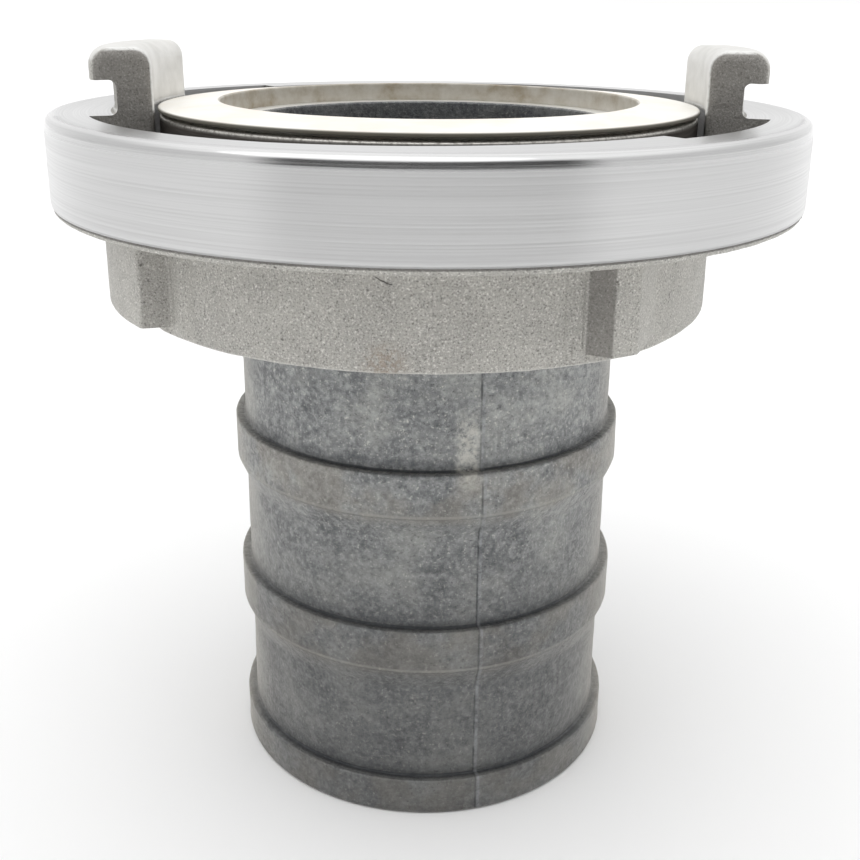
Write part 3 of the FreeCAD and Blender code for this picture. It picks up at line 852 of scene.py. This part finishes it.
def true_corner(points, triangles, normals):
    """Puts the rim's rounded top corner exactly on its arc, with the normals that belong there."""
    radius, z = radius_of(points), points[:, 2]
    arc_radius, arc_z = RIM - RIM_TOP_ROUND, RIM_TOP - RIM_TOP_ROUND
    out, up = radius - arc_radius, z - arc_z
    reach = np.hypot(out, up)
    on_arc = (out > 0) & (up > 0) & (np.abs(reach - RIM_TOP_ROUND) < 0.2)
    scale = np.where(on_arc, RIM_TOP_ROUND / np.maximum(reach, 1e-6), 1.0)
    spoke = points[:, :2] / radius[:, None]
    points = np.column_stack([spoke * (arc_radius + out * scale)[:, None], arc_z + up * scale])
    exact = unit(np.column_stack([spoke * np.maximum(out, 0)[:, None], np.maximum(up, 0)]))
    corner = ((radius > arc_radius - 0.4) & (z > arc_z - 0.6))[triangles]
    return points, triangles, np.where(corner[:, :, None], exact[triangles], normals)


packed = refine(*corners_of("coupling_head"), head_limit)
head_points, head_triangles, head_normals = cut(*true_corner(*packed), above_strip)
as_cast = is_cast(head_points, head_triangles, head_normals)
head_points, head_normals = shaped(head_points, head_triangles, head_normals, head_height)
head = add_mesh("coupling_head_casting", head_points, head_triangles, head_normals)
head.data.materials.append(turned_finish())
head.data.materials.append(cast_finish())
head.data.polygons.foreach_set("material_index", as_cast.astype(int))

tail.data.materials.append(tail_finish())
tail.data.materials.append(seat_finish())
middles = np.array([face.center for face in tail.data.polygons]) / MM
seat_faces = (middles[:, 2] > JOURNAL_LOW + 0.5) & (radius_of(middles) > BORE + 0.5)
tail.data.polygons.foreach_set("material_index", seat_faces.astype(int))
seal.data.materials.append(seal_finish())
ring.data.materials.append(ring_finish())

for piece, body, slot, node in (
        (tail, "tail", "tail_casting", "hose_tail"),
        (seal, "tail", "seal_rubber", "face_seal"),
        (ring, "tail", "ring_steel", "retaining_ring"),
        (head, "head", "head_casting", "coupling_head")):
    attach(piece, body)
    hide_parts(node)


# ------------------------------------------------------- floor, light, camera

FLOOR_REACH = 60
FRONT_GLOW, SIDE_GLOW, BACK_GLOW, TOP_GLOW = 0.04, 0.86, 1.03, 1.36
CAMERA_PLACE = (0.0, -0.2841, 0.1944)
PITCH, ROLL = math.radians(71.74), 0.0081

floor_corners = [(x * FLOOR_REACH, y * FLOOR_REACH, 0) for x, y in ((-1, -1), (1, -1), (1, 1), (-1, 1))]
floor_mesh = bpy.data.meshes.new("floor")
floor_mesh.from_pydata(floor_corners, [], [(0, 1, 2, 3)])
floor = bpy.data.objects.new("floor", floor_mesh)
bpy.context.scene.collection.objects.link(floor)
pale = Finish("floor_pale", Roughness=0.9)
pale.set(Base_Color=pale.colours(pale.noise(900, 2), (0.3, grey(243)), (0.7, grey(245))))
floor_mesh.materials.append(pale.material)


def studio_world():
    """White to the camera; for the metal, dark at the front and brightest overhead."""
    world = bpy.data.worlds.new("studio")
    world.use_nodes = True
    tree = world.node_tree

    def node(kind, inputs, **settings):
        made = tree.nodes.new("ShaderNode" + kind)
        for key, value in settings.items():
            setattr(made, key, value)
        for socket, value in inputs.items():
            if isinstance(value, bpy.types.NodeSocket):
                tree.links.new(value, made.inputs[socket])
            else:
                made.inputs[socket].default_value = value
        return made

    def math_of(operation, *values):
        return node("Math", dict(enumerate(values)), operation=operation).outputs[0]

    def eased(value, low, high, to_low, to_high):
        return node("MapRange", {0: value, 1: low, 2: high, 3: to_low, 4: to_high},
                    interpolation_type="SMOOTHSTEP").outputs[0]

    way = node("SeparateXYZ", {0: tree.nodes.new("ShaderNodeTexCoord").outputs["Generated"]})
    level = math_of("SQRT", math_of("ADD", math_of("MULTIPLY", way.outputs[0], way.outputs[0]),
                                    math_of("MULTIPLY", way.outputs[1], way.outputs[1])))
    toward = math_of("DIVIDE", math_of("MULTIPLY", way.outputs[1], -1.0), math_of("MAXIMUM", level, 0.001))
    beside = eased(toward, -0.80, -0.35, BACK_GLOW, SIDE_GLOW)
    facing = eased(toward, 0.60, 0.80, 0.0, 1.0)
    side = math_of("ADD", math_of("MULTIPLY", beside, math_of("SUBTRACT", 1.0, facing)),
                   math_of("MULTIPLY", facing, FRONT_GLOW))
    overhead = eased(way.outputs[2], 0.40, 0.78, 0.0, 1.0)
    glow = math_of("ADD", math_of("MULTIPLY", side, math_of("SUBTRACT", 1.0, overhead)),
                   math_of("MULTIPLY", overhead, TOP_GLOW))
    seen = tree.nodes.new("ShaderNodeLightPath").outputs["Is Camera Ray"]
    shown = math_of("ADD", math_of("MULTIPLY", glow, math_of("SUBTRACT", 1.0, seen)), seen)
    tree.nodes["Background"].inputs[0].default_value = (1, 1, 1, 1)
    tree.links.new(shown, tree.nodes["Background"].inputs[1])
    return world


bpy.context.scene.world = studio_world()
sun = bpy.data.lights.new("soft_sun", "SUN")
sun.energy, sun.angle = 0.5, math.radians(70)
sun_holder = bpy.data.objects.new("soft_sun", sun)
sun_holder.rotation_euler = (math.radians(28), math.radians(-14), 0)
bpy.context.scene.collection.objects.link(sun_holder)

camera_data = bpy.data.cameras.new("camera")
camera_data.sensor_width = 36.0
camera_data.lens = 47.23
camera_data.shift_x = 0.0038
camera_data.shift_y = -0.0698
camera = bpy.data.objects.new("camera", camera_data)
camera.matrix_world = (
    Matrix.Translation(CAMERA_PLACE) @ Matrix.Rotation(PITCH, 4, "X") @ Matrix.Rotation(ROLL, 4, "Z"))
camera_data.clip_start = 0.01
bpy.context.scene.collection.objects.link(camera)
bpy.context.scene.camera = camera
bpy.context.scene.view_settings.view_transform = "Standard"

bpy.context.view_layer.update()
